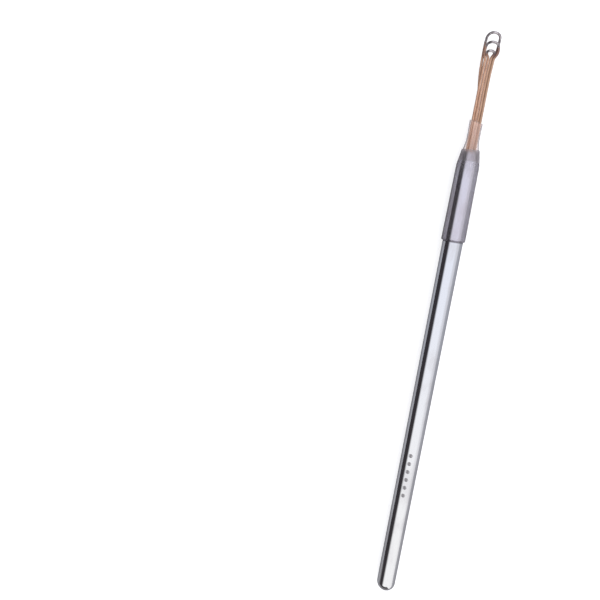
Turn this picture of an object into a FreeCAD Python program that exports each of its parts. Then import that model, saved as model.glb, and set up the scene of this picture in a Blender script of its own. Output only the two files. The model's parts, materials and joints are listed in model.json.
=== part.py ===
import FreeCAD, Part
import math
import os
import Sketcher

# Triple-loop wire ear pick, in millimetres.
# The pick is drawn along +X: x = 0 at the domed tail, the wire loops at the far end, and the
# loops' arches bent up towards +Z. It is laid down on its side at the end, as it rests.

# Driving sizes
SIZES = {
    # Handle rod: a round bar with a domed tail, a slimmer seat for the grip tube and a coned
    # nose, bored for the wire legs
    "rod_diameter": 4.3,
    "rod_length": 104.2,
    "seat_step": 0.2,
    "nose_length": 3.5,
    "nose_wall": 0.26,
    "bore_depth": 11.0,
    "drill_point_depth": 0.7,
    # Row of plain round dimples on the rod
    "dimple_diameter": 0.9,
    "dimple_depth": 0.07,
    "dimple_start": 26.2,
    "dimple_row_length": 10.0,
    "dimple_count": 6,
    # Grip tube: soft smoke-grey tube over the seat, thick at its rim and thin at its mouth,
    # which reaches past the rod's end
    "tube_length": 19.1,
    "tube_mouth_reach": 0.55,
    "tube_cone_length": 3.2,
    "tube_rim_wall": 0.58,
    "tube_shoulder_wall": 0.4,
    "tube_mouth_wall": 0.17,
    "tube_rim_rounding": 0.25,
    "tube_mouth_rounding": 0.05,
    # Neck sleeve: clear tube over the bundle of legs, flared over the rod's nose
    "sleeve_wall": 0.17,
    "sleeve_overlap": 1.6,
    "sleeve_shoulder_length": 2.4,
    "sleeve_reach": 6.2,
    "sleeve_lip_flare": 0.05,
    "sleeve_lip_length": 1.7,
    "sleeve_bend_radius": 1.2,
    # Wire, the gap between neighbouring legs, and the space behind the legs' roots
    "wire_diameter": 0.5,
    "wire_gap": 0.02,
    "leg_root_gap": 0.5,
    # Each loop's arch: how far it turns up past the sleeve's lip, or past the loop before it,
    # how long and steep it is, how wide between wire centres, and how far off the axis
    "short_loop_step": 13.1,
    "short_loop_rise": 1.3,
    "short_loop_tilt": 65.0,
    "short_loop_width": 1.5,
    "short_loop_offset": 0.14,
    "middle_loop_step": 1.45,
    "middle_loop_rise": 1.65,
    "middle_loop_tilt": 65.0,
    "middle_loop_width": 2.1,
    "middle_loop_offset": 0.27,
    "long_loop_step": 0.6,
    "long_loop_rise": 2.65,
    "long_loop_tilt": 45.0,
    "long_loop_width": 2.55,
    "long_loop_offset": 0.16,
    # Bond that holds the legs in the bore
    "bond_wall": 0.253,
    "bond_recess": 0.4,
    # Fits
    "fit_clearance": 0.01,
    "bundle_clearance": 0.083,
    "bond_clearance": 0.02,
}

# Height of the two rows that the legs lie in, above and below the axis, in wire pitches
ROW = math.sqrt(3) / 4
# The long loop's left leg dips this low to pass under the leg beside it
DIP = -0.62
# Each loop's row, and its left and right leg: where it lies in the bundle, its route from there
# and where its arch stands. A route point is its place along, from the short loop's bend, then
# across and up. All of these are in wire pitches.
LOOPS = {
    "short_loop": {
        "row": ROW,
        "bundle": (0.5, -0.5),
        "left": [(-8.85, 0.5, ROW), (-1.1, 0.24, ROW)],
        "right": [(-8.2, -0.5, ROW), (-1.0, -0.8, ROW)],
        "feet": (1.0, -1.45),
    },
    "middle_loop": {
        "row": ROW,
        "bundle": (1.5, -1.5),
        "left": [(-8.05, 1.5, ROW), (-1.4, 1.29, ROW), (0.0, 2.08, ROW)],
        "right": [(-7.25, -1.5, ROW), (-1.3, -1.84, ROW), (0.0, -2.58, ROW), (1.0, -3.0, ROW)],
        "feet": (1.98, -3.0),
    },
    "long_loop": {
        "row": -ROW,
        "bundle": (1.0, -1.0),
        "left": [(-17.25, 1.0, -ROW), (-14.6, 1.25, DIP), (-9.3, 2.0, DIP), (-5.3, 2.38, DIP)],
        "right": [(-7.25, -1.0, -ROW), (-1.0, -1.31, -ROW), (0.3, -2.15, -ROW), (1.95, -2.5, -ROW)],
        "feet": (2.5, -2.65),
    },
}

# Share of each bend's shorter run that its arc takes up
BEND_SHARE = 0.45
# Corner of a half octagon round a half circle, as a share of its width
OCTAGON_CORNER = 1 - math.sqrt(0.5)
# Two sizes nearer than this are the same, in millimetres
SAME = 1e-4


class Size:
    """A length that knows its value and the sheet expression that it comes from."""

    def __init__(self, value, text):
        self.value = value
        self.text = text

    def __add__(self, other):
        return Size(self.value + other.value, f"({self.text} + {other.text})")

    def __sub__(self, other):
        return Size(self.value - other.value, f"({self.text} - {other.text})")

    def __mul__(self, other):
        return Size(self.value * other.value, f"({self.text} * {other.text})")

    def __truediv__(self, other):
        return Size(self.value / other.value, f"({self.text} / {other.text})")


def size(alias):
    return Size(SIZES[alias], f"Sizes.{alias}")


def number(value):
    return Size(value, f"{value:.9f}")


def add_sheet(doc):
    sheet = doc.addObject("Spreadsheet::Sheet", "Sizes")
    for row, (alias, value) in enumerate(SIZES.items(), 1):
        sheet.set(f"A{row}", alias)
        sheet.set(f"B{row}", str(value))
        sheet.setAlias(f"B{row}", alias)
    doc.recompute()


ZERO = number(0)
TWO = number(2)

# The bundle of legs, and what closes round it
WIRE_RADIUS = size("wire_diameter") / TWO
PITCH = size("wire_diameter") + size("wire_gap")
BUNDLE_RADIUS = number(math.hypot(LOOPS["middle_loop"]["bundle"][0], ROW)) * PITCH + WIRE_RADIUS
BORE_RADIUS = BUNDLE_RADIUS + size("bond_wall")
SLEEVE_BORE = BUNDLE_RADIUS + size("bundle_clearance")

# Radii and places along the pick
CLEARANCE = size("fit_clearance")
ROD_RADIUS = size("rod_diameter") / TWO
ROD_END = size("rod_length")
SEAT_RADIUS = ROD_RADIUS - size("seat_step")
NOSE_START = ROD_END - size("nose_length")
NOSE_TIP_RADIUS = BORE_RADIUS + size("nose_wall")
NOSE_SLOPE = (SEAT_RADIUS - NOSE_TIP_RADIUS) / size("nose_length")
BORE_END = ROD_END - size("bore_depth")
TUBE_MOUTH = ROD_END + size("tube_mouth_reach")
TUBE_START = TUBE_MOUTH - size("tube_length")
TUBE_BORE = SEAT_RADIUS + CLEARANCE
TUBE_RIM_RADIUS = TUBE_BORE + size("tube_rim_wall")
SLEEVE_START = ROD_END - size("sleeve_overlap")
SLEEVE_LIP = ROD_END + size("sleeve_reach")
SLEEVE_SLOPE = (NOSE_TIP_RADIUS + CLEARANCE - SLEEVE_BORE) / size("sleeve_shoulder_length")


def nose_radius(station):
    """Radius of the rod's coned nose at a place along the pick."""
    return SEAT_RADIUS - NOSE_SLOPE * (station - NOSE_START)


def add_body(doc, name):
    body = doc.addObject("PartDesign::Body", name)
    body.Label = name
    return body


def add_sketch(body, name):
    """A sketch on the body's own level plane, with the pick's axis as its horizontal axis."""
    sketch = body.newObject("Sketcher::SketchObject", name)
    planes = [feature for feature in body.Origin.OriginFeatures if feature.Role == "XY_Plane"]
    sketch.AttachmentSupport = [(planes[0], "")]
    sketch.MapMode = "FlatFace"
    return sketch


def place_point(sketch, geometry, point, axis, distance):
    """Ties one coordinate of a sketch point to a size, or to the sketch's axis where it is zero."""
    if distance is ZERO:
        line = -1 if axis == "DistanceY" else -2
        sketch.addConstraint(Sketcher.Constraint("PointOnObject", geometry, point, line))
        return
    rule = Sketcher.Constraint(axis, -1, 1, geometry, point, distance.value)
    index = sketch.addConstraint(rule)
    sketch.setExpression(f"Constraints[{index}]", distance.text)


def add_outline(sketch, corners, dome_radius=None):
    """Draws a closed outline of (along, out) corners. With dome_radius, its first side is a
    quarter circle about the point that lies that far along the axis."""
    points = [FreeCAD.Vector(along.value, out.value, 0) for along, out in corners]
    for index, start in enumerate(points):
        end = points[(index + 1) % len(points)]
        if index == 0 and dome_radius is not None:
            centre = FreeCAD.Vector(dome_radius.value, 0, 0)
            circle = Part.Circle(centre, FreeCAD.Vector(0, 0, 1), dome_radius.value)
            sketch.addGeometry(Part.ArcOfCircle(circle, math.pi / 2, math.pi))
        else:
            sketch.addGeometry(Part.LineSegment(start, end))
    # The quarter circle runs backwards, so its ends are the other way round.
    ends = [(1, 2)] * len(points)
    if dome_radius is not None:
        ends[0] = (2, 1)
    for index, corner in enumerate(corners):
        before = index - 1 if index else len(points) - 1
        sketch.addConstraint(
            Sketcher.Constraint("Coincident", before, ends[before][1], index, ends[index][0])
        )
        place_point(sketch, index, ends[index][0], "DistanceX", corner[0])
        place_point(sketch, index, ends[index][0], "DistanceY", corner[1])
    if dome_radius is not None:
        sketch.addConstraint(Sketcher.Constraint("PointOnObject", 0, 3, -1))


def revolve(body, sketch, name):
    turned = body.newObject("PartDesign::Revolution", name)
    turned.Profile = sketch
    turned.ReferenceAxis = (sketch, ["H_Axis"])
    turned.Angle = 360
    return turned


def circle_edge(shape, along, radius):
    """Name of the circular edge at a place along the pick."""
    for index, edge in enumerate(shape.Edges, 1):
        curve = edge.Curve
        if isinstance(curve, Part.Circle):
            if abs(curve.Center.x - along.value) < SAME and abs(curve.Radius - radius.value) < SAME:
                return f"Edge{index}"
    raise ValueError(f"no circular edge at {along.text}")


def round_edges(doc, body, feature, name, rings, radius):
    """Rounds the circular edges of a turned feature."""
    doc.recompute()
    fillet = body.newObject("PartDesign::Fillet", name)
    fillet.Base = (feature, [circle_edge(feature.Shape, along, out) for along, out in rings])
    fillet.setExpression("Radius", radius.text)
    body.Tip = fillet
    return fillet


def add_handle_rod(doc):
    body = add_body(doc, "handle_rod")
    outline = add_sketch(body, "rod_outline")
    add_outline(
        outline,
        [
            (ZERO, ZERO),
            (ROD_RADIUS, ROD_RADIUS),
            (TUBE_START, ROD_RADIUS),
            (TUBE_START, SEAT_RADIUS),
            (NOSE_START, SEAT_RADIUS),
            (ROD_END, NOSE_TIP_RADIUS),
            (ROD_END, BORE_RADIUS),
            (BORE_END, BORE_RADIUS),
            (BORE_END - size("drill_point_depth"), ZERO),
        ],
        dome_radius=ROD_RADIUS,
    )
    revolve(body, outline, "rod_turned")
    add_dimples(doc, body)
    return body


def add_dimples(doc, body):
    """Cuts the row of shallow dimples into the top of the rod."""
    ring = add_sketch(body, "dimple_outline")
    ring.setExpression("AttachmentOffset.Base.z", (ROD_RADIUS - size("dimple_depth")).text)
    centre = FreeCAD.Vector(SIZES["dimple_start"], 0, 0)
    circle = Part.Circle(centre, FreeCAD.Vector(0, 0, 1), SIZES["dimple_diameter"] / 2)
    ring.addGeometry(circle)
    place_point(ring, 0, 3, "DistanceX", size("dimple_start"))
    place_point(ring, 0, 3, "DistanceY", ZERO)
    index = ring.addConstraint(Sketcher.Constraint("Diameter", 0, SIZES["dimple_diameter"]))
    ring.setExpression(f"Constraints[{index}]", size("dimple_diameter").text)
    cut = body.newObject("PartDesign::Pocket", "dimple")
    cut.Profile = ring
    cut.Type = "ThroughAll"
    cut.Reversed = True
    doc.recompute()
    row = body.newObject("PartDesign::LinearPattern", "dimple_row")
    row.Originals = [cut]
    row.Direction = (ring, ["H_Axis"])
    row.setExpression("Length", size("dimple_row_length").text)
    row.setExpression("Occurrences", size("dimple_count").text)
    body.Tip = row


def add_grip_tube(doc):
    body = add_body(doc, "grip_tube")
    # The bore turns in where the sleeve on the nose is as wide as the seat, and turns in more
    # past the rod's end, where it follows the sleeve's shoulder.
    cover = size("sleeve_wall") + TWO * CLEARANCE
    inner_shoulder = NOSE_START + (cover - CLEARANCE) / NOSE_SLOPE
    inner_tip = NOSE_TIP_RADIUS + cover
    inner_mouth = inner_tip - SLEEVE_SLOPE * size("tube_mouth_reach")
    rim = (TUBE_START, TUBE_RIM_RADIUS)
    shoulder = (TUBE_MOUTH - size("tube_cone_length"), TUBE_BORE + size("tube_shoulder_wall"))
    mouth = (TUBE_MOUTH, inner_mouth + size("tube_mouth_wall"))
    outline = add_sketch(body, "tube_outline")
    add_outline(
        outline,
        [
            (TUBE_START, TUBE_BORE),
            rim,
            shoulder,
            mouth,
            (TUBE_MOUTH, inner_mouth),
            (ROD_END, inner_tip),
            (inner_shoulder, TUBE_BORE),
        ],
    )
    turned = revolve(body, outline, "tube_turned")
    rimmed = round_edges(doc, body, turned, "tube_rim", [rim], size("tube_rim_rounding"))
    round_edges(doc, body, rimmed, "tube_mouth", [mouth], size("tube_mouth_rounding"))
    return body


def add_neck_sleeve(doc):
    body = add_body(doc, "neck_sleeve")
    wall = size("sleeve_wall")
    waist = ROD_END + size("sleeve_shoulder_length")
    lip_start = SLEEVE_LIP - size("sleeve_lip_length")
    foot = nose_radius(SLEEVE_START) + CLEARANCE
    tip = NOSE_TIP_RADIUS + CLEARANCE
    lip = SLEEVE_BORE + size("sleeve_lip_flare")
    outline = add_sketch(body, "sleeve_outline")
    add_outline(
        outline,
        [
            (SLEEVE_START, foot),
            (SLEEVE_START, foot + wall),
            (ROD_END, tip + wall),
            (waist, SLEEVE_BORE + wall),
            (lip_start, SLEEVE_BORE + wall),
            (SLEEVE_LIP, lip + wall),
            (SLEEVE_LIP, lip),
            (lip_start, SLEEVE_BORE),
            (waist, SLEEVE_BORE),
            (ROD_END, tip),
        ],
    )
    turned = revolve(body, outline, "sleeve_turned")
    bends = [
        (ROD_END, tip + wall),
        (waist, SLEEVE_BORE + wall),
        (lip_start, SLEEVE_BORE + wall),
        (waist, SLEEVE_BORE),
        (lip_start, SLEEVE_BORE),
    ]
    round_edges(doc, body, turned, "sleeve_bends", bends, size("sleeve_bend_radius"))
    return body


def bent_path(corners):
    """A wire path of straight runs joined by tangent arcs, through the corners of a polyline.
    Returns the path and the smallest arc's radius."""
    runs = [corners[i + 1] - corners[i] for i in range(len(corners) - 1)]
    edges = []
    radii = []
    start = corners[0]
    for index, corner in enumerate(corners[1:-1]):
        before = runs[index]
        after = runs[index + 1]
        turn = before.getAngle(after)
        cut = BEND_SHARE * min(before.Length, after.Length)
        into = corner - before.normalize() * cut
        out = corner + after.normalize() * cut
        radius = cut / math.tan(turn / 2)
        chord = (into + out) / 2
        to_centre = (chord - corner).normalize()
        depth = radius / math.cos(turn / 2) - radius
        middle = corner + to_centre * depth
        edges.append(Part.LineSegment(start, into).toShape())
        edges.append(Part.Arc(into, middle, out).toShape())
        radii.append(radius)
        runs[index] = corner - start
        runs[index + 1] = corners[index + 2] - corner
        start = out
    edges.append(Part.LineSegment(start, corners[-1]).toShape())
    return Part.Wire(edges), min(radii)


def arch_corners(loop, left, right, station, height):
    """Corners of a loop's arch, from its left bend over the top to its right bend. The arch
    turns up at the station, from legs that stand left and right at the given height."""
    rise = SIZES[f"{loop}_rise"]
    tilt = math.radians(SIZES[f"{loop}_tilt"])
    width = SIZES[f"{loop}_width"]
    middle = -SIZES[f"{loop}_offset"]
    corner = OCTAGON_CORNER * width
    flat = [
        (0, left),
        (rise - corner, middle + width / 2),
        (rise, middle + width / 2 - corner),
        (rise, middle - width / 2 + corner),
        (rise - corner, middle - width / 2),
        (0, right),
    ]
    return [
        FreeCAD.Vector(station + up * math.cos(tilt), across, height + up * math.sin(tilt))
        for up, across in flat
    ]


def leg_corners(loop, side, short_bend):
    """Corners of one leg, from its root in the bore towards its arch."""
    across = LOOPS[loop]["bundle"][0 if side == "left" else 1]
    row = LOOPS[loop]["row"]
    root = BORE_END + size("leg_root_gap")
    corners = [FreeCAD.Vector(root.value, across * PITCH.value, row * PITCH.value)]
    for along, out, up in LOOPS[loop][side]:
        place = FreeCAD.Vector(along, out, up) * PITCH.value
        corners.append(FreeCAD.Vector(short_bend, 0, 0) + place)
    return corners


def loop_corners():
    """Corners of each loop's wire. The legs of the short and middle loops lie abreast, and the
    long loop's legs lie in the grooves underneath."""
    short_bend = (SLEEVE_LIP + size("short_loop_step")).value
    station = SLEEVE_LIP.value
    corners = {}
    for loop, plan in LOOPS.items():
        station += SIZES[f"{loop}_step"]
        left, right = (across * PITCH.value for across in plan["feet"])
        arch = arch_corners(loop, left, right, station, plan["row"] * PITCH.value)
        up = leg_corners(loop, "left", short_bend)
        down = leg_corners(loop, "right", short_bend)[::-1]
        corners[loop] = up + arch + down
    return corners


def add_wire_loop(doc, name, corners):
    """One round wire, swept along its path from its left leg's root to its right leg's."""
    path_shape, tightest = bent_path(corners)
    path = doc.addObject("Part::Feature", f"{name}_path")
    path.Shape = path_shape
    section = doc.addObject("Part::Circle", f"{name}_section")
    section.setExpression("Radius", WIRE_RADIUS.text)
    across = FreeCAD.Rotation(FreeCAD.Vector(0, 1, 0), 90)
    section.Placement = FreeCAD.Placement(corners[0], across)
    wire = doc.addObject("Part::Sweep", name)
    wire.Label = name
    wire.Sections = [section]
    wire.Spine = (path, [f"Edge{i}" for i in range(1, len(path_shape.Edges) + 1)])
    wire.Solid = True
    wire.Frenet = False
    print(f"{name}: {path_shape.Length:.2f} mm of wire, tightest bend {tightest:.2f} mm")
    return wire


def add_bond_plug(doc, loops):
    """The bond that fills the bore round the legs."""
    start = BORE_END + CLEARANCE
    length = size("bore_depth") - size("bond_recess") - CLEARANCE
    fill = doc.addObject("Part::Cylinder", "bond_fill")
    fill.setExpression("Radius", (BORE_RADIUS - CLEARANCE).text)
    fill.setExpression("Height", length.text)
    along = FreeCAD.Rotation(FreeCAD.Vector(0, 1, 0), 90)
    fill.Placement = FreeCAD.Placement(FreeCAD.Vector(0, 0, 0), along)
    fill.setExpression("Placement.Base.x", start.text)
    root = BORE_END + size("leg_root_gap") - size("bond_clearance")
    holes = []
    for corners in loops.values():
        for foot in (corners[0], corners[-1]):
            hole = doc.addObject("Part::Cylinder", "leg_hole")
            hole.setExpression("Radius", (WIRE_RADIUS + size("bond_clearance")).text)
            hole.setExpression("Height", size("bore_depth").text)
            hole.Placement = FreeCAD.Placement(FreeCAD.Vector(0, foot.y, foot.z), along)
            hole.setExpression("Placement.Base.x", root.text)
            holes.append(hole)
    drilled = doc.addObject("Part::MultiFuse", "leg_holes")
    drilled.Shapes = holes
    plug = doc.addObject("Part::Cut", "bond_plug")
    plug.Label = "bond_plug"
    plug.Base = fill
    plug.Tool = drilled
    return plug


def lay_down(pieces):
    """Lays the pick down as it rests, on the tube's lower rim and the foot of the domed tail,
    with the middle of its box over the origin."""
    rounding = SIZES["tube_rim_rounding"]
    tail = FreeCAD.Vector(ROD_RADIUS.value, 0, 0)
    rim = FreeCAD.Vector(TUBE_START.value + rounding, 0, rounding - TUBE_RIM_RADIUS.value)
    between = rim - tail
    # The floor touches both round contacts, so it leans from the line between their centres.
    lean = math.asin((ROD_RADIUS.value - rounding) / between.Length)
    tilt = -math.atan2(between.z, between.x) - lean
    turned = FreeCAD.Placement(
        FreeCAD.Vector(0, 0, 0), FreeCAD.Rotation(FreeCAD.Vector(0, 1, 0), -math.degrees(tilt))
    )
    for piece in pieces:
        piece.Placement = turned
    box = Part.makeCompound([piece.Shape for piece in pieces]).optimalBoundingBox(False, False)
    shift = FreeCAD.Vector(-box.Center.x, 0, ROD_RADIUS.value - turned.multVec(tail).z)
    for piece in pieces:
        piece.Placement = FreeCAD.Placement(shift, turned.Rotation)
    print(f"rests at {math.degrees(tilt):.3f} degrees, {box.XLength:.2f} mm long")
    print(f"the tail's end is at x = {(turned.multVec(FreeCAD.Vector()) + shift).x:.3f} mm")


def check(doc, pieces):
    failed = [item.Name for item in doc.Objects if {"Invalid", "Error"} & set(item.State)]
    for piece in pieces:
        if piece.Shape.isNull() or not piece.Shape.isValid():
            failed.append(piece.Label)
    if failed:
        raise RuntimeError(f"not built: {failed}")


def main():
    doc = FreeCAD.newDocument("ear_pick")
    add_sheet(doc)
    loops = loop_corners()
    pieces = [add_handle_rod(doc), add_grip_tube(doc), add_neck_sleeve(doc)]
    pieces += [add_wire_loop(doc, name, corners) for name, corners in loops.items()]
    pieces.append(add_bond_plug(doc, loops))
    doc.recompute()
    check(doc, pieces)
    lay_down(pieces)
    doc.recompute()
    check(doc, pieces)
    os.makedirs("parts", exist_ok=True)
    for piece in pieces:
        piece.Shape.exportStep(f"parts/{piece.Label}.step")


main()
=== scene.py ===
import json
import math

import bpy
from mathutils import Matrix, Vector


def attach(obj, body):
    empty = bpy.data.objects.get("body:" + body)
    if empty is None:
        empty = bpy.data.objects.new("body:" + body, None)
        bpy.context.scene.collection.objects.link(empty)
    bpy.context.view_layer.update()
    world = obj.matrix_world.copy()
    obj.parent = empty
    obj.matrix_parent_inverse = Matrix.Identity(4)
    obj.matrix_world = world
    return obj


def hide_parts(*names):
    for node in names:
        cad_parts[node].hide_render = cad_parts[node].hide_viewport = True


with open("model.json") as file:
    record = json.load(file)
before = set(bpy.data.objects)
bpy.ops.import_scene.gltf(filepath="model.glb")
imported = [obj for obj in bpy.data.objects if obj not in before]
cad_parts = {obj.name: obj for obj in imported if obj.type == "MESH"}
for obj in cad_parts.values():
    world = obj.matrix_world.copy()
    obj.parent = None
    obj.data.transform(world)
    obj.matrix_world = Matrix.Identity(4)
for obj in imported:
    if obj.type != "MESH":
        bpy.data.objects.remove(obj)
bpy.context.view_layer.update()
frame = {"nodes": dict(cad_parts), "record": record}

# A triple-loop wire ear pick that lies on a pale table.
# Sizes are in millimetres in the pick's own frame: x = 0 at the end of its domed tail, the wire
# loops at the far end, and the loops' arches turned up towards +Z. The row's frame is in metres.
MM = 0.001

# Handle rod: its bare stretch is the row's handle mount
HANDLE = next(mount for mount in frame["record"]["mounts"] if mount["name"] == "handle")
ROD_RADIUS = HANDLE["dims"]["r_mm"]
TUBE_START = ROD_RADIUS + HANDLE["dims"]["length_mm"]
ROD_END = 104.2
SEAT_RADIUS = ROD_RADIUS - 0.2
NOSE_START = ROD_END - 3.5
ROD_EDGE = 0.04

# Wire, and the pitch of the legs in their bundle
WIRE_RADIUS = 0.25
PITCH = 2 * WIRE_RADIUS + 0.02
# Height of the two rows of legs above and below the axis, and of the low crossing, in pitches
ROW = math.sqrt(3) / 4
DIP = -0.62
BUNDLE_RADIUS = math.hypot(1.5, ROW) * PITCH + WIRE_RADIUS

# Bore for the legs
BORE_RADIUS = BUNDLE_RADIUS + 0.253
BORE_START = ROD_END - 11.0
DRILL_POINT = BORE_START - 0.7
NOSE_TIP_RADIUS = BORE_RADIUS + 0.26
NOSE_SLOPE = (SEAT_RADIUS - NOSE_TIP_RADIUS) / (ROD_END - NOSE_START)

# Row of shallow dimples. Each is cut out of a cell of the rod's top, in rings: outside its rim, down
# its wall, and over its floor, these last as shares of the floor's radius.
DIMPLE_RADIUS = 0.45
DIMPLE_DEPTH = 0.07
DIMPLE_EDGE = 0.06
DIMPLE_START = 26.2
DIMPLE_PITCH = 2.0
DIMPLE_COUNT = 6
DIMPLE_CELL = 0.7
DIMPLE_CELL_STEPS = 8
DIMPLE_CELL_COLUMNS = 7
DIMPLE_OUTER_RINGS = (0.08, 0.02)
DIMPLE_WALL_STEPS = 6
DIMPLE_FLOOR_RINGS = (0.9, 0.6, 0.3)

# Neck sleeve
FIT = 0.01
SLEEVE_WALL = 0.17
SLEEVE_START = ROD_END - 1.6
SLEEVE_WAIST = ROD_END + 2.4
SLEEVE_LIP = ROD_END + 6.2
SLEEVE_LIP_START = SLEEVE_LIP - 1.7
SLEEVE_BORE = BUNDLE_RADIUS + 0.083
SLEEVE_LIP_BORE = SLEEVE_BORE + 0.05
SLEEVE_TIP_BORE = NOSE_TIP_RADIUS + FIT
SLEEVE_BEND = 1.2
SLEEVE_EDGE = 0.05
# How much the lip's cut leans forward on the pick's left, as a slope
LIP_SLOPE = 0.24

# Grip tube: it wets the rod, so its bore lies a hair inside the rod, up to the sleeve's foot
TUBE_MOUTH = ROD_END + 0.55
TUBE_SHOULDER = TUBE_MOUTH - 3.2
TUBE_WETTING = 0.005
TUBE_RIM_RADIUS = SEAT_RADIUS + 0.59
TUBE_SHOULDER_RADIUS = SEAT_RADIUS + 0.41
TUBE_MOUTH_WALL = 0.17
TUBE_RIM_ROUNDING = 0.25
TUBE_SHOULDER_ROUNDING = 6.0
TUBE_EDGE = 0.05

# Each loop's wire. Its legs' places in the bundle, their routes and their feet are in pitches:
# a route point is its place along from the short loop's bend, then across and up. Its arch is in
# millimetres: where it turns up, how long it is, how wide, and how far off the axis; then how
# steep it is, in degrees.
SHORT_BEND = SLEEVE_LIP + 13.1
LOOPS = {
    "short_loop": {
        "row": ROW,
        "bundle": (0.5, -0.5),
        "left": [(-8.85, 0.5, ROW), (-1.1, 0.24, ROW)],
        "right": [(-8.2, -0.5, ROW), (-1.0, -0.8, ROW)],
        "feet": (1.0, -1.45),
        "bend": SHORT_BEND,
        "rise": 1.3,
        "width": 1.5,
        "offset": 0.14,
        "tilt": 65.0,
    },
    "middle_loop": {
        "row": ROW,
        "bundle": (1.5, -1.5),
        "left": [(-8.05, 1.5, ROW), (-1.4, 1.29, ROW), (0.0, 2.08, ROW)],
        "right": [(-7.25, -1.5, ROW), (-1.3, -1.84, ROW), (0.0, -2.58, ROW), (1.0, -3.0, ROW)],
        "feet": (1.98, -3.0),
        "bend": SHORT_BEND + 1.45,
        "rise": 1.65,
        "width": 2.1,
        "offset": 0.27,
        "tilt": 65.0,
    },
    "long_loop": {
        "row": -ROW,
        "bundle": (1.0, -1.0),
        "left": [(-17.25, 1.0, -ROW), (-14.6, 1.25, DIP), (-9.3, 2.0, DIP), (-5.3, 2.38, DIP)],
        "right": [(-7.25, -1.0, -ROW), (-1.0, -1.31, -ROW), (0.3, -2.15, -ROW), (1.95, -2.5, -ROW)],
        "feet": (2.5, -2.65),
        "bend": SHORT_BEND + 2.05,
        "rise": 2.65,
        "width": 2.55,
        "offset": 0.16,
        "tilt": 45.0,
    },
}
LEG_ROOT = BORE_START + 0.5
BEND_SHARE = 0.45
OCTAGON_CORNER = 1 - math.sqrt(0.5)

# Colours, linear. The metal's at the tail and at the neck, where it is smudged, its painted shade at
# the tube's foot, in the dimples, and its edge tint
METAL_TAIL = (0.62, 0.62, 0.63, 1)
METAL_NECK = (0.59, 0.605, 0.65, 1)
METAL_SMUDGE = (0.5, 0.49, 0.51, 1)
METAL_FOOT_SHADE = (0.1, 0.09, 0.11, 1)
METAL_ETCHED = (0.2, 0.19, 0.2, 1)
METAL_EDGE = (0.45, 0.44, 0.46, 1)
# The clear pieces' faces, their edges, the sleeve's cut, and their tint by depth
SMOKE_CLEAR = (1.0, 0.985, 1.0, 1)
SMOKE_DARK = (0.44, 0.38, 0.42, 1)
SMOKE_DEPTH = (0.45, 0.3, 0.42, 1)
SMOKE_DENSITY = 300.0
CLEAR_WALL = (1.0, 0.975, 0.975, 1)
CLEAR_EDGE = (0.52, 0.38, 0.36, 1)
CLEAR_CUT = (0.66, 0.56, 0.54, 1)
CLEAR_DEPTH = (0.6, 0.4, 0.38, 1)
CLEAR_DENSITY = 200.0
CLEAR_IOR = 1.45
# The wire's coat, with painted shade on its right, painted light where it lies under the sleeve and
# painted shade at the bends, and the bare steel of its arches.
# Then where the bends' painted shade lies and where the coat ends: along the pick from its tail, and
# by its height
COAT_DARK = (0.46, 0.26, 0.175, 1)
COAT_LIGHT = (0.56, 0.345, 0.24, 1)
COAT_RIGHT_SHADE = (0.33, 0.22, 0.145, 1)
COAT_SLEEVE_LIGHT = (0.88, 0.62, 0.49, 1)
COAT_BEND_SHADE = (0.17, 0.09, 0.085, 1)
STEEL_DARK = (0.23, 0.2, 0.21, 1)
STEEL_LIGHT = (0.5, 0.465, 0.475, 1)
BEND_SHADE_START = 122.6
BEND_SHADE_END = 123.4
BARE_START = 125.0
BARE_END = 126.2
BARE_LOW = 3.45
BARE_HIGH = 3.85
# The bond's resin
BOND_DARK = (0.42, 0.25, 0.13, 1)
BOND_LIGHT = (0.62, 0.42, 0.26, 1)

# Bounds of the noise that shows as haze, and as fine scuffs
HAZE = (0.4, 0.7)
SCUFFS = (0.62, 0.72)

# Fineness of the meshes
TURNED_SIDES = 128
WIRE_SIDES = 24
ARC_STEP = math.radians(7)
LONGEST_RUN = 1.2

# Camera over the pick's far half: its place, its turn about X, Y and Z in degrees, its lens and
# sensor in millimetres, and the nearest and farthest that it sees, in metres
CAMERA_PLACE = Vector((30.64, 0.0, 135.6)) * MM
CAMERA_TURN = (-9.496, 14.827, -81.466)
LENS = 36.0
SENSOR = 36.0
NEAREST = 0.005
FARTHEST = 20

# Floor: its half width in metres, its colour, and how far it is lifted for the eye
FLOOR_HALF = 1.5
FLOOR_COLOUR = (0.52, 0.52, 0.53, 1)
FLOOR_GLOW = 0.66

# Studio: an overhead softbox that reaches down to the right, where it fades, and a dark room past
# its left edge, which is a slope. Where it turns warmer towards the tail, where it fades, and the
# least height that the slope is worked out with, are shares of a direction's length.
BOX_LEFT = math.tan(math.radians(33))
BOX_LEFT_BLUR = 0.3
BOX_COLOUR = (1.27, 1.29, 1.38, 1)
BOX_TAIL = (-0.5, 0.1)
BOX_TAIL_COLOUR = (1.42, 1.42, 1.42, 1)
BOX_FADE = (-0.7, -1.0)
BOX_FADE_COLOUR = (1.0, 0.99, 1.02, 1)
ROOM_COLOUR = (0.055, 0.05, 0.055, 1)
LEAST_HEIGHT = 0.02

# Upright card beyond the tail, grey at its foot and black above, that shows in the gloss only: how
# far off it is, its edges, its height and the height of its grey foot, in millimetres
CARD_GAP = 22.0
CARD_RIGHT = -13.0
CARD_LEFT = 45.0
CARD_HEIGHT = 26.0
CARD_FOOT = 11.0
CARD_BLUR = 1.2
CARD_BLACK = (0.055, 0.05, 0.055, 1)
CARD_GREY = (0.35, 0.34, 0.35, 1)

# Soft lamp: its place and width in metres, and its power in watts
LAMP_PLACE = Vector((0.05, -0.35, 0.6))
LAMP_SIZE = 0.5
LAMP_POWER = 0.8


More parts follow.
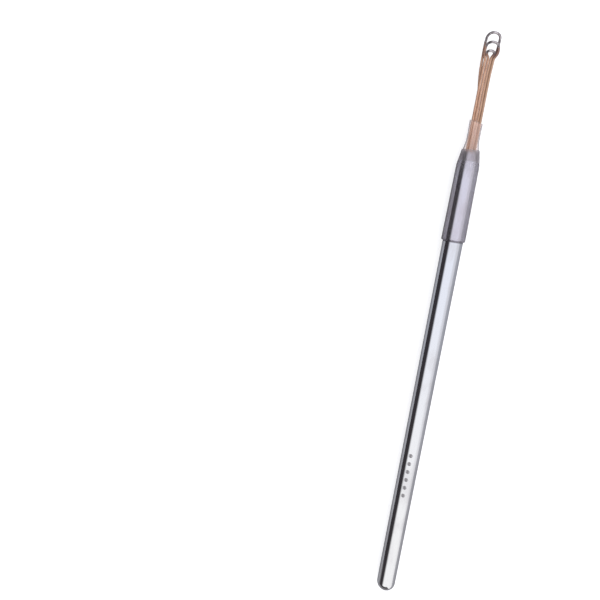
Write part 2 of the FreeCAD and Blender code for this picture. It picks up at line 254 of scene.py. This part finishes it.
def pick_frame():
    """The matrix from the pick's own frame, in millimetres, to the row's, in metres."""
    along = -Vector(HANDLE["axis"]).normalized()
    side = Vector((0, 1, 0))
    up = along.cross(side)
    tail = Vector(HANDLE["pos_m"]) - along * (TUBE_START + ROD_RADIUS) / 2 * MM
    axes = Matrix((along, side, up)).transposed().to_4x4()
    return Matrix.Translation(tail) @ axes @ Matrix.Scale(MM, 4)


PICK = pick_frame()


def row_place(x):
    """Where a place along the pick, in millimetres from its tail, lies along the row's X axis."""
    return (PICK @ Vector((x, 0, 0))).x


def new_object(name, data):
    """A new object in the scene."""
    thing = bpy.data.objects.new(name, data)
    bpy.context.scene.collection.objects.link(thing)
    return thing


class Skin:
    """A closed surface in the making, with the true normal at each of its points."""

    def __init__(self):
        self.points = []
        self.normals = []
        self.etched = []
        self.faces = []

    def add(self, point, normal, etched=0.0):
        self.points.append(Vector(point))
        self.normals.append(Vector(normal).normalized())
        self.etched.append(etched)
        return len(self.points) - 1

    def bridge(self, first, second, closed=True):
        """Joins two rings of points by quads, or by triangles where one ring is a single point."""
        count = max(len(first), len(second))
        for k in range(count if closed else count - 1):
            after = (k + 1) % count
            ring = [first[k % len(first)], second[k % len(second)]]
            ring += [second[after % len(second)], first[after % len(first)]]
            corners = [ring[0]]
            for corner in ring[1:]:
                if corner not in corners:
                    corners.append(corner)
            self.faces.append(corners)

    def piece(self, name, node, slot, material):
        """Makes the surface a piece that stands for a node of the part."""
        mesh = bpy.data.meshes.new(name)
        mesh.from_pydata([PICK @ point for point in self.points], [], self.faces)
        mesh.polygons.foreach_set("use_smooth", [True] * len(mesh.polygons))
        turn = PICK.to_3x3().normalized()
        mesh.normals_split_custom_set_from_vertices([turn @ normal for normal in self.normals])
        etched = mesh.attributes.new("etched", "FLOAT", "POINT")
        etched.data.foreach_set("value", self.etched)
        mesh.materials.append(material)
        piece = new_object(name, mesh)
        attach(piece, "root")
        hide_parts(node)


def outline(corners, closed):
    """Points and normals of an outline of (along, out, rounding) corners. The solid lies on the
    right-hand side of the way it runs."""
    count = len(corners)
    plain = [Vector(corner[:2]) for corner in corners]
    stops = []
    for i, (x, out, rounding) in enumerate(corners):
        here = plain[i]
        if not closed and i in (0, count - 1):
            run = plain[1] - here if i == 0 else here - plain[i - 1]
            stops.append([(here, run.normalized())])
            continue
        into = (here - plain[i - 1]).normalized()
        out_of = (plain[(i + 1) % count] - here).normalized()
        turn = into.angle_signed(out_of, 0.0) * -1
        if abs(turn) < 1e-6 or not rounding:
            stops.append([(here, into)])
            continue
        cut = rounding * math.tan(abs(turn) / 2)
        start = here - into * cut
        left = Vector((-into.y, into.x)) * math.copysign(1, turn)
        centre = start + left * rounding
        steps = max(2, math.ceil(abs(turn) / ARC_STEP))
        arc = []
        for k in range(steps + 1):
            swing = Matrix.Rotation(turn * k / steps, 2)
            arc.append((centre + swing @ (start - centre), swing @ into))
        stops.append(arc)
    return [
        (point, Vector((-heading.y, heading.x)))
        for point, heading in spaced_stops(stops, closed)
    ]


def spaced_stops(stops, closed):
    """The stops in order, with more points on the long runs between them."""
    line = []
    for i, arc in enumerate(stops):
        line += arc
        if i == len(stops) - 1 and not closed:
            break
        start = arc[-1][0]
        end = stops[(i + 1) % len(stops)][0][0]
        run = end - start
        pieces = math.ceil(run.length / LONGEST_RUN)
        for k in range(1, pieces):
            line.append((start + run * k / pieces, run.normalized()))
    return line


def turned(skin, line, closed, skip=None):
    """Revolves an outline about the pick's axis. skip tells at which places along the pick the
    cells of its top stay open."""
    rings = []
    for point, normal in line:
        if point.y < 1e-6:
            rings.append([skin.add((point.x, 0, 0), (normal.x, 0, 0))])
            continue
        ring = []
        for k in range(TURNED_SIDES):
            angle = math.tau * k / TURNED_SIDES
            side, up = math.sin(angle), math.cos(angle)
            place = (point.x, point.y * side, point.y * up)
            ring.append(skin.add(place, (normal.x, normal.y * side, normal.y * up)))
        rings.append(ring)
    if closed:
        rings.append(rings[0])
    for first, second in zip(rings, rings[1:]):
        middle = (skin.points[first[0]].x + skin.points[second[0]].x) / 2
        if skip is None or not skip(middle):
            skin.bridge(first, second)
            continue
        columns = range(DIMPLE_CELL_COLUMNS, TURNED_SIDES - DIMPLE_CELL_COLUMNS + 1)
        skin.bridge([first[k] for k in columns], [second[k] for k in columns], closed=False)
    return rings


def dimple_height(across, distance):
    """Height of the rod's top about a dimple, at a place across the rod and from its centre."""
    top = math.sqrt(ROD_RADIUS ** 2 - across ** 2)
    share = (DIMPLE_RADIUS + DIMPLE_EDGE / 2 - distance) / DIMPLE_EDGE
    share = min(max(share, 0.0), 1.0)
    share = share * share * (3 - 2 * share)
    return top + (ROD_RADIUS - DIMPLE_DEPTH - top) * share


def dimple_point(skin, centre, distance, angle):
    """One point of a dimple, with its normal from the slopes beside it."""
    nudge = 1e-4

    def height(along, across):
        return dimple_height(across, math.hypot(along, across))

    along, across = distance * math.cos(angle), distance * math.sin(angle)
    slope_along = (height(along + nudge, across) - height(along - nudge, across)) / (2 * nudge)
    slope_across = (height(along, across + nudge) - height(along, across - nudge)) / (2 * nudge)
    depth = math.sqrt(ROD_RADIUS ** 2 - across ** 2) - height(along, across)
    place = (centre + along, across, height(along, across))
    return skin.add(place, (-slope_along, -slope_across, 1), min(depth / DIMPLE_DEPTH, 1.0))


def add_dimple(skin, rings, centre):
    """Fills a cell of the rod's top with a shallow round dimple."""

    def nearest(x):
        return min(range(len(rings)), key=lambda i: abs(skin.points[rings[i][0]].x - x))

    start, end = nearest(centre - DIMPLE_CELL), nearest(centre + DIMPLE_CELL)
    cut = DIMPLE_CELL_COLUMNS
    edge = [rings[i][-cut] for i in range(start, end)]
    edge += [rings[end][k] for k in range(-cut, cut)]
    edge += [rings[i][cut] for i in range(end, start, -1)]
    edge += [rings[start][k] for k in range(cut, -cut, -1)]
    angles = [math.atan2(skin.points[i].y, skin.points[i].x - centre) for i in edge]
    inner, outer = DIMPLE_RADIUS - DIMPLE_EDGE / 2, DIMPLE_RADIUS + DIMPLE_EDGE / 2
    distances = [outer + gap for gap in DIMPLE_OUTER_RINGS]
    distances += [outer - DIMPLE_EDGE * k / DIMPLE_WALL_STEPS for k in range(DIMPLE_WALL_STEPS + 1)]
    distances += [inner * share for share in DIMPLE_FLOOR_RINGS]
    before = edge
    for distance in distances:
        ring = [dimple_point(skin, centre, distance, angle) for angle in angles]
        skin.bridge(ring, before)
        before = ring
    skin.bridge([dimple_point(skin, centre, 0.0, 0.0)], before)


def handle_rod(material):
    centres = [DIMPLE_START + DIMPLE_PITCH * k for k in range(DIMPLE_COUNT)]
    stations = [
        centre - DIMPLE_CELL + 2 * DIMPLE_CELL * k / DIMPLE_CELL_STEPS
        for centre in centres
        for k in range(DIMPLE_CELL_STEPS + 1)
    ]
    corners = [(0, 0, 0), (0, ROD_RADIUS, ROD_RADIUS)]
    corners += [(x, ROD_RADIUS, 0) for x in stations]
    corners += [
        (TUBE_START, ROD_RADIUS, ROD_EDGE),
        (TUBE_START, SEAT_RADIUS, ROD_EDGE),
        (NOSE_START, SEAT_RADIUS, SLEEVE_BEND),
        (ROD_END, NOSE_TIP_RADIUS, ROD_EDGE),
        (ROD_END, BORE_RADIUS, ROD_EDGE),
        (BORE_START, BORE_RADIUS, ROD_EDGE),
        (DRILL_POINT, 0, 0),
    ]
    skin = Skin()
    rings = turned(
        skin,
        outline(corners, closed=False),
        closed=False,
        skip=lambda x: any(abs(x - centre) < DIMPLE_CELL for centre in centres),
    )
    for centre in centres:
        add_dimple(skin, rings, centre)
    skin.piece("polished_rod", "handle_rod", "polished_metal", material)


def sleeve_radius(x):
    """Outer radius of the neck sleeve's shoulder, which the tube's mouth follows."""
    share = (x - ROD_END) / (SLEEVE_WAIST - ROD_END)
    return SLEEVE_TIP_BORE + (SLEEVE_BORE - SLEEVE_TIP_BORE) * share + SLEEVE_WALL


def grip_tube(material):
    cover = SLEEVE_WALL + 2 * FIT
    inner_mouth = sleeve_radius(TUBE_MOUTH) + FIT
    wet_bore = SEAT_RADIUS - TUBE_WETTING
    wet_end = NOSE_START + (cover - FIT) / NOSE_SLOPE
    corners = [
        (TUBE_START, wet_bore, TUBE_EDGE),
        (TUBE_START, TUBE_RIM_RADIUS, TUBE_RIM_ROUNDING),
        (TUBE_SHOULDER, TUBE_SHOULDER_RADIUS, TUBE_SHOULDER_ROUNDING),
        (TUBE_MOUTH, inner_mouth + TUBE_MOUTH_WALL, TUBE_EDGE),
        (TUBE_MOUTH, inner_mouth, TUBE_EDGE),
        (ROD_END, NOSE_TIP_RADIUS + cover, SLEEVE_BEND),
        (wet_end, SEAT_RADIUS + FIT, 0),
        (wet_end, SEAT_RADIUS - cover + FIT - TUBE_WETTING, 0),
        (NOSE_START, wet_bore, SLEEVE_BEND),
    ]
    skin = Skin()
    turned(skin, outline(corners, closed=True), closed=True)
    skin.piece("smoke_grip_tube", "grip_tube", "smoke_tube", material)


def slant_lip(skin):
    """Leans the sleeve's lip, and marks its cut as etched."""
    for i, point in enumerate(skin.points):
        share = (point.x - SLEEVE_LIP_START) / (SLEEVE_LIP - SLEEVE_LIP_START)
        lean = LIP_SLOPE * min(max(share, 0.0), 1.0)
        skin.etched[i] = min(max(1 - (SLEEVE_LIP - point.x) / SLEEVE_EDGE, 0.0), 1.0)
        point.x += lean * point.y
        skin.normals[i].y -= lean * skin.normals[i].x
        skin.normals[i].normalize()


def neck_sleeve(material):
    foot = NOSE_TIP_RADIUS + NOSE_SLOPE * (ROD_END - SLEEVE_START) + FIT
    corners = [
        (SLEEVE_START, foot, SLEEVE_EDGE),
        (SLEEVE_START, foot + SLEEVE_WALL, SLEEVE_EDGE),
        (ROD_END, SLEEVE_TIP_BORE + SLEEVE_WALL, SLEEVE_BEND),
        (SLEEVE_WAIST, SLEEVE_BORE + SLEEVE_WALL, SLEEVE_BEND),
        (SLEEVE_LIP_START, SLEEVE_BORE + SLEEVE_WALL, SLEEVE_BEND),
        (SLEEVE_LIP, SLEEVE_LIP_BORE + SLEEVE_WALL, SLEEVE_EDGE),
        (SLEEVE_LIP, SLEEVE_LIP_BORE, SLEEVE_EDGE),
        (SLEEVE_LIP_START, SLEEVE_BORE, SLEEVE_BEND),
        (SLEEVE_WAIST, SLEEVE_BORE, SLEEVE_BEND),
        (ROD_END, SLEEVE_TIP_BORE, 0),
    ]
    skin = Skin()
    turned(skin, outline(corners, closed=True), closed=True)
    slant_lip(skin)
    skin.piece("clear_neck_sleeve", "neck_sleeve", "clear_tube", material)


def arch_corners(loop):
    """Corners of a loop's arch, from its left bend over the top to its right bend."""
    tilt = math.radians(loop["tilt"])
    rise, width, middle = loop["rise"], loop["width"], -loop["offset"]
    left, right = (across * PITCH for across in loop["feet"])
    corner = OCTAGON_CORNER * width
    flat = [
        (0, left),
        (rise - corner, middle + width / 2),
        (rise, middle + width / 2 - corner),
        (rise, middle - width / 2 + corner),
        (rise - corner, middle - width / 2),
        (0, right),
    ]
    base = Vector((loop["bend"], 0, loop["row"] * PITCH))
    return [base + Vector((up * math.cos(tilt), across, up * math.sin(tilt))) for up, across in flat]


def leg_corners(loop, side):
    """Corners of one leg, from its root in the bore towards its arch."""
    across = loop["bundle"][0 if side == "left" else 1]
    root = Vector((LEG_ROOT, across * PITCH, loop["row"] * PITCH))
    bend = Vector((SHORT_BEND, 0, 0))
    return [root] + [bend + Vector(place) * PITCH for place in loop[side]]


def wire_path(corners):
    """Points and headings along a wire of straight runs joined by tangent arcs."""
    stops = [[(corners[0], (corners[1] - corners[0]).normalized())]]
    for i in range(1, len(corners) - 1):
        here = corners[i]
        into = here - corners[i - 1]
        out_of = corners[i + 1] - here
        cut = BEND_SHARE * min(into.length, out_of.length)
        into.normalize()
        out_of.normalize()
        turn = into.angle(out_of)
        radius = cut / math.tan(turn / 2)
        axis = into.cross(out_of).normalized()
        centre = here - into * cut + axis.cross(into) * radius
        steps = max(2, math.ceil(turn / ARC_STEP))
        arc = []
        for k in range(steps + 1):
            swing = Matrix.Rotation(turn * k / steps, 3, axis)
            arc.append((centre + swing @ (here - into * cut - centre), swing @ into))
        stops.append(arc)
    stops.append([(corners[-1], (corners[-1] - corners[-2]).normalized())])
    return spaced_stops(stops, closed=False)


def wire_loop(name, material):
    loop = LOOPS[name]
    corners = leg_corners(loop, "left") + arch_corners(loop) + leg_corners(loop, "right")[::-1]
    path = wire_path(corners)
    skin = Skin()
    side = Vector((0, 0, 1))
    rings = []
    for point, heading in path:
        side = (side - heading * side.dot(heading)).normalized()
        cross = side.cross(heading)
        ring = []
        for k in range(WIRE_SIDES):
            angle = math.tau * k / WIRE_SIDES
            out = side * math.cos(angle) + cross * math.sin(angle)
            ring.append(skin.add(point + out * WIRE_RADIUS, out))
        rings.append(ring)
    for first, second in zip(rings, rings[1:]):
        skin.bridge(first, second)
    for ring, (point, heading), sense in ((rings[0], path[0], -1), (rings[-1], path[-1], 1)):
        cap = [skin.add(skin.points[i], heading * sense) for i in ring]
        middle = [skin.add(point, heading * sense)]
        if sense < 0:
            skin.bridge(middle, cap)
        else:
            skin.bridge(cap, middle)
    skin.piece(f"wire_{name}", name, "tinted_wire", material)


class Tree:
    """Short calls to build a node tree."""

    def __init__(self, tree):
        self.nodes = tree.nodes
        self.links = tree.links

    def new(self, kind):
        return self.nodes.new(kind)

    def put(self, value, socket):
        """Links a value to a socket where it is an output, and writes it there where it isn't."""
        if isinstance(value, bpy.types.NodeSocket):
            self.links.new(value, socket)
        else:
            socket.default_value = value

    def math(self, operation, first, second):
        node = self.new("ShaderNodeMath")
        node.operation = operation
        self.put(first, node.inputs[0])
        self.put(second, node.inputs[1])
        return node.outputs[0]

    def ramp(self, value, low, high):
        """0 below low, 1 above high, smooth between."""
        node = self.new("ShaderNodeMapRange")
        node.interpolation_type = "SMOOTHSTEP"
        node.inputs["From Min"].default_value = low
        node.inputs["From Max"].default_value = high
        self.put(value, node.inputs["Value"])
        return node.outputs[0]

    def mix(self, share, first, second):
        node = self.new("ShaderNodeMix")
        node.data_type = "RGBA"
        colours = [socket for socket in node.inputs if socket.type == "RGBA"]
        self.put(share, node.inputs["Factor"])
        self.put(first, colours[0])
        self.put(second, colours[1])
        return next(socket for socket in node.outputs if socket.type == "RGBA")

    def place(self, axis):
        """Where a point of a piece lies along one axis of the row, in metres."""
        split = self.new("ShaderNodeSeparateXYZ")
        self.links.new(self.new("ShaderNodeTexCoord").outputs["Object"], split.inputs[0])
        return split.outputs[axis]

    def attribute(self, name):
        node = self.new("ShaderNodeAttribute")
        node.attribute_name = name
        return node.outputs["Fac"]

    def noise(self, along, across, detail=2.0):
        """Noise with this many waves per millimetre along the pick and across it."""
        mapping = self.new("ShaderNodeMapping")
        mapping.inputs["Scale"].default_value = Vector((along, across, across)) / MM
        self.links.new(self.new("ShaderNodeTexCoord").outputs["Object"], mapping.inputs["Vector"])
        texture = self.new("ShaderNodeTexNoise")
        texture.inputs["Scale"].default_value = 1.0
        texture.inputs["Detail"].default_value = detail
        self.links.new(mapping.outputs[0], texture.inputs["Vector"])
        return texture.outputs[0]

    def total(self, base, *parts):
        """A base value plus each (share, value) part."""
        value = base
        for share, part in parts:
            value = self.math("ADD", self.math("MULTIPLY", part, share), value)
        return value

    def facing(self):
        """0 where the surface faces the eye, 1 at its outline."""
        node = self.new("ShaderNodeLayerWeight")
        node.inputs["Blend"].default_value = 0.5
        return node.outputs["Facing"]

    def bump(self, height, depth):
        """Normals of a relief of this depth in millimetres."""
        node = self.new("ShaderNodeBump")
        node.inputs["Strength"].default_value = 1.0
        node.inputs["Distance"].default_value = depth * MM
        self.put(height, node.inputs["Height"])
        return node.outputs[0]


def surface(name):
    """A new material, its tree and its shader's sockets."""
    material = bpy.data.materials.new(name)
    material.use_nodes = True
    tree = Tree(material.node_tree)
    return material, tree, tree.nodes["Principled BSDF"].inputs


def bare_material(name):
    """A new material with nothing in its tree."""
    material = bpy.data.materials.new(name)
    material.use_nodes = True
    material.node_tree.nodes.clear()
    return material, Tree(material.node_tree)


def absorb(tree, colour, density):
    """Tints a clear material by its depth."""
    node = tree.new("ShaderNodeVolumeAbsorption")
    node.inputs["Color"].default_value = colour
    node.inputs["Density"].default_value = density
    tree.links.new(node.outputs[0], tree.nodes["Material Output"].inputs["Volume"])


def near(tree, place, width):
    """1 in a soft band round a place along the row, 0 away from it."""
    gap = tree.math("ABSOLUTE", tree.math("SUBTRACT", tree.place("X"), place), 0.0)
    return tree.math("SUBTRACT", 1.0, tree.ramp(gap, 0.3 * width, width))


def metal():
    """Polished plate: faint turned rings, hairlines along the grip, smudges, and painted shade in a
    dark band at the foot of the tube, where the plate is also rougher."""
    material, tree, shader = surface("polished_metal")
    smudges = tree.ramp(tree.noise(0.16, 0.35, 3.0), 0.42, 0.68)
    rings = tree.noise(30.0, 0.4)
    handled = tree.ramp(tree.place("X"), row_place(TUBE_START) + 0.5 * MM, row_place(TUBE_START))
    hairlines = tree.math("MULTIPLY", tree.ramp(tree.noise(0.12, 16.0, 3.0), 0.63, 0.72), handled)
    # Painted shade: a dark band on the rod next to the tube's foot, which also roughens it there
    foot_shade = near(tree, row_place(TUBE_START), 0.35 * MM)
    clean = tree.mix(tree.ramp(tree.place("X"), -0.055, 0.02), METAL_TAIL, METAL_NECK)
    worn = tree.mix(tree.math("MULTIPLY", smudges, 0.5), clean, METAL_SMUDGE)
    dirty = tree.mix(tree.math("MULTIPLY", foot_shade, 0.8), worn, METAL_FOOT_SHADE)
    etched = tree.attribute("etched")
    tree.put(tree.mix(etched, dirty, METAL_ETCHED), shader["Base Color"])
    roughness = tree.total(0.07, (0.05, smudges), (0.05, rings), (0.1, hairlines))
    tree.put(tree.total(roughness, (0.2, foot_shade), (0.25, etched)), shader["Roughness"])
    tree.put(tree.bump(tree.total(0.0, (1.0, rings), (-0.8, hairlines)), 0.0004), shader["Normal"])
    shader["Metallic"].default_value = 1.0
    shader["Specular Tint"].default_value = METAL_EDGE
    return material


def smoke():
    """Soft glossy tube, smoky all through: handling haze, fine scuffs, milkier at its mouth."""
    material, tree, shader = surface("smoke_tube")
    haze = tree.ramp(tree.noise(0.3, 0.5, 4.0), *HAZE)
    scuffs = tree.ramp(tree.noise(0.25, 9.0, 3.0), *SCUFFS)
    # Painted shade: the tube's colour darkens in a ring at its foot, where it meets the rod, and in
    # a fainter ring at its mouth; it also darkens towards the mouth and at its outline
    foot = near(tree, row_place(TUBE_START), 0.3 * MM)
    mouth = near(tree, row_place(TUBE_MOUTH), 0.9 * MM)
    ends = tree.math("MAXIMUM", tree.math("MULTIPLY", foot, 0.7), tree.math("MULTIPLY", mouth, 0.3))
    dim = tree.ramp(tree.place("X"), row_place(TUBE_SHOULDER - 4.0), row_place(TUBE_MOUTH))
    edge = tree.math("POWER", tree.facing(), 1.2)
    shade = tree.math("MAXIMUM", ends, tree.total(0.0, (0.25, dim), (0.65, edge)))
    tree.put(tree.mix(shade, SMOKE_CLEAR, SMOKE_DARK), shader["Base Color"])
    roughness = tree.total(0.13, (0.05, haze), (0.05, scuffs), (0.2, dim))
    tree.put(roughness, shader["Roughness"])
    tree.put(tree.bump(tree.noise(0.2, 0.35), 0.002), shader["Normal"])
    shader["Transmission Weight"].default_value = 1.0
    tree.put(tree.total(0.975, (-0.06, dim)), shader["Transmission Weight"])
    shader["IOR"].default_value = CLEAR_IOR
    absorb(tree, SMOKE_DEPTH, SMOKE_DENSITY)
    return material


def clear():
    """Clear sleeve with a pinkish cast, scuffed, and frosted where its lip is cut."""
    material, tree, shader = surface("clear_tube")
    haze = tree.ramp(tree.noise(0.4, 0.7, 4.0), *HAZE)
    scuffs = tree.ramp(tree.noise(0.5, 7.0, 3.0), *SCUFFS)
    lip = tree.attribute("etched")
    edge = tree.math("POWER", tree.facing(), 1.5)
    wall = tree.mix(edge, CLEAR_WALL, CLEAR_EDGE)
    tree.put(tree.mix(lip, wall, CLEAR_CUT), shader["Base Color"])
    tree.put(tree.total(0.05, (0.06, haze), (0.12, scuffs), (0.35, lip)), shader["Roughness"])
    tree.put(tree.bump(haze, 0.003), shader["Normal"])
    shader["Transmission Weight"].default_value = 1.0
    tree.put(tree.total(1.0, (-0.7, lip)), shader["Transmission Weight"])
    shader["IOR"].default_value = CLEAR_IOR
    absorb(tree, CLEAR_DEPTH, CLEAR_DENSITY)
    return material


def wire():
    """Spring wire: a tan coat on the legs, mottled, that has worn off the arches to dark steel, with
    painted shade on its right and at its bends and painted light under the sleeve.
    """
    material, tree, shader = surface("tinted_wire")
    mottle = tree.noise(0.9, 2.2, 4.0)
    scratches = tree.ramp(tree.noise(0.8, 30.0, 3.0), 0.6, 0.7)
    far = tree.ramp(tree.place("X"), row_place(BARE_START), row_place(BARE_END))
    height = tree.total(0.0, (1.0, tree.place("Z")), (0.4 * MM, mottle))
    bare = tree.math("MAXIMUM", far, tree.ramp(height, BARE_LOW * MM, BARE_HIGH * MM))
    mottled = tree.mix(tree.ramp(mottle, 0.35, 0.65), COAT_DARK, COAT_LIGHT)
    # Painted shade: the coat darkens towards the pick's right side
    right = tree.ramp(tree.place("Y"), 0.3 * MM, -1.0 * MM)
    legs = tree.mix(tree.math("MULTIPLY", right, 0.55), mottled, COAT_RIGHT_SHADE)
    # Painted light: the legs inside the clear sleeve, up to its slanted lip, are made paler
    level = tree.total(tree.place("X"), (-LIP_SLOPE, tree.place("Y")))
    lip = row_place(SLEEVE_LIP)
    under_sleeve = tree.ramp(level, lip + 0.1 * MM, lip - 0.3 * MM)
    sleeve_lit = tree.mix(under_sleeve, legs, COAT_SLEEVE_LIGHT)
    # Painted shade where the legs bend up into the arches, stronger on the right
    bends = tree.ramp(tree.place("X"), row_place(BEND_SHADE_START), row_place(BEND_SHADE_END))
    bend_shade = tree.math("MULTIPLY", bends, tree.total(0.45, (0.35, right)))
    coat = tree.mix(bend_shade, sleeve_lit, COAT_BEND_SHADE)
    colour = tree.mix(bare, coat, tree.mix(tree.ramp(mottle, 0.4, 0.6), STEEL_DARK, STEEL_LIGHT))
    scratched = tree.math("MULTIPLY", scratches, 0.25)
    tree.put(tree.mix(scratched, colour, STEEL_LIGHT), shader["Base Color"])
    tree.put(tree.total(0.12, (0.85, bare)), shader["Metallic"])
    tree.put(tree.total(0.5, (-0.25, bare), (0.1, mottle), (0.1, scratches)), shader["Roughness"])
    shader["Specular IOR Level"].default_value = 0.3
    tree.put(tree.bump(tree.total(0.0, (1.0, mottle), (-0.5, scratches)), 0.004), shader["Normal"])
    return material


def bond():
    """Cast amber resin with a cloudy grain."""
    material, tree, shader = surface("bond")
    grain = tree.noise(1.5, 1.5, 4.0)
    tree.put(tree.mix(grain, BOND_DARK, BOND_LIGHT), shader["Base Color"])
    tree.put(tree.total(0.35, (0.2, grain)), shader["Roughness"])
    tree.put(tree.bump(grain, 0.02), shader["Normal"])
    return material


def add_camera():
    data = bpy.data.cameras.new("camera")
    data.sensor_width = SENSOR
    data.lens = LENS
    data.clip_start = NEAREST
    data.clip_end = FARTHEST
    camera = new_object("camera", data)
    camera.location = CAMERA_PLACE
    camera.rotation_euler = [math.radians(angle) for angle in CAMERA_TURN]
    bpy.context.scene.camera = camera


def seen_directly(tree):
    """1 on rays from the eye, also through clear pieces, but not by way of the metal."""
    path = tree.new("ShaderNodeLightPath").outputs
    unmirrored = tree.math("LESS_THAN", path["Glossy Depth"], 0.5)
    through = tree.math("MULTIPLY", path["Is Transmission Ray"], unmirrored)
    return tree.math("MAXIMUM", path["Is Camera Ray"], through)


def scenery(name, corners, material):
    """A flat face that isn't part of the pick."""
    mesh = bpy.data.meshes.new(name)
    mesh.from_pydata(corners, [], [(0, 1, 2, 3)])
    mesh.materials.append(material)
    face = new_object(name, mesh)
    return face


def add_floor():
    material, tree = bare_material("floor")
    diffuse = tree.new("ShaderNodeBsdfDiffuse")
    diffuse.inputs["Color"].default_value = FLOOR_COLOUR
    glow = tree.new("ShaderNodeEmission")
    tree.put(tree.math("MULTIPLY", seen_directly(tree), FLOOR_GLOW), glow.inputs["Strength"])
    both = tree.new("ShaderNodeAddShader")
    tree.put(diffuse.outputs[0], both.inputs[0])
    tree.put(glow.outputs[0], both.inputs[1])
    tree.put(both.outputs[0], tree.new("ShaderNodeOutputMaterial").inputs["Surface"])
    half = FLOOR_HALF
    corners = [(-half, -half, 0), (half, -half, 0), (half, half, 0), (-half, half, 0)]
    scenery("floor", corners, material)


def add_world():
    world = bpy.data.worlds.new("studio")
    bpy.context.scene.world = world
    world.use_nodes = True
    world.node_tree.nodes.clear()
    tree = Tree(world.node_tree)
    split = tree.new("ShaderNodeSeparateXYZ")
    tree.put(tree.new("ShaderNodeTexCoord").outputs["Generated"], split.inputs[0])
    x, y, z = split.outputs
    slope = tree.math("DIVIDE", y, tree.math("MAXIMUM", z, LEAST_HEIGHT))
    past_left = tree.ramp(slope, BOX_LEFT - BOX_LEFT_BLUR, BOX_LEFT + BOX_LEFT_BLUR)
    overhead = tree.mix(tree.ramp(x, *BOX_TAIL), BOX_TAIL_COLOUR, BOX_COLOUR)
    box = tree.mix(tree.ramp(y, *BOX_FADE), overhead, BOX_FADE_COLOUR)
    studio = tree.new("ShaderNodeBackground")
    tree.put(tree.mix(past_left, box, ROOM_COLOUR), studio.inputs["Color"])
    white = tree.new("ShaderNodeBackground")
    white.inputs["Color"].default_value = (1, 1, 1, 1)
    mix = tree.new("ShaderNodeMixShader")
    tree.put(seen_directly(tree), mix.inputs[0])
    tree.put(studio.outputs[0], mix.inputs[1])
    tree.put(white.outputs[0], mix.inputs[2])
    tree.put(mix.outputs[0], tree.new("ShaderNodeOutputWorld").inputs["Surface"])


def add_card():
    material, tree = bare_material("card")
    glow = tree.new("ShaderNodeEmission")
    above = tree.ramp(tree.place("Z"), (CARD_FOOT - CARD_BLUR) * MM, (CARD_FOOT + CARD_BLUR) * MM)
    tree.put(tree.mix(above, CARD_GREY, CARD_BLACK), glow.inputs["Color"])
    tree.put(glow.outputs[0], tree.new("ShaderNodeOutputMaterial").inputs["Surface"])
    x = row_place(-CARD_GAP)
    right, left, height = CARD_RIGHT * MM, CARD_LEFT * MM, CARD_HEIGHT * MM
    corners = [(x, right, 0), (x, left, 0), (x, left, height), (x, right, height)]
    card = scenery("card", corners, material)
    card.visible_camera = False
    card.visible_diffuse = False
    card.visible_transmission = False
    card.visible_shadow = False


def add_lamp():
    """A broad soft lamp that fills the shade. It doesn't show in the gloss."""
    data = bpy.data.lights.new("fill", "AREA")
    data.shape = "SQUARE"
    data.size = LAMP_SIZE
    data.energy = LAMP_POWER
    lamp = new_object("fill", data)
    lamp.location = LAMP_PLACE
    lamp.rotation_euler = (-LAMP_PLACE).to_track_quat("-Z", "Y").to_euler()
    lamp.visible_glossy = False
    lamp.visible_transmission = False


add_camera()
handle_rod(metal())
grip_tube(smoke())
neck_sleeve(clear())
coat = wire()
for name in LOOPS:
    wire_loop(name, coat)
resin = bond()
for slot in frame["nodes"]["bond_plug"].material_slots:
    slot.material = resin
add_floor()
add_world()
add_card()
add_lamp()
bpy.context.scene.view_settings.view_transform = "Standard"
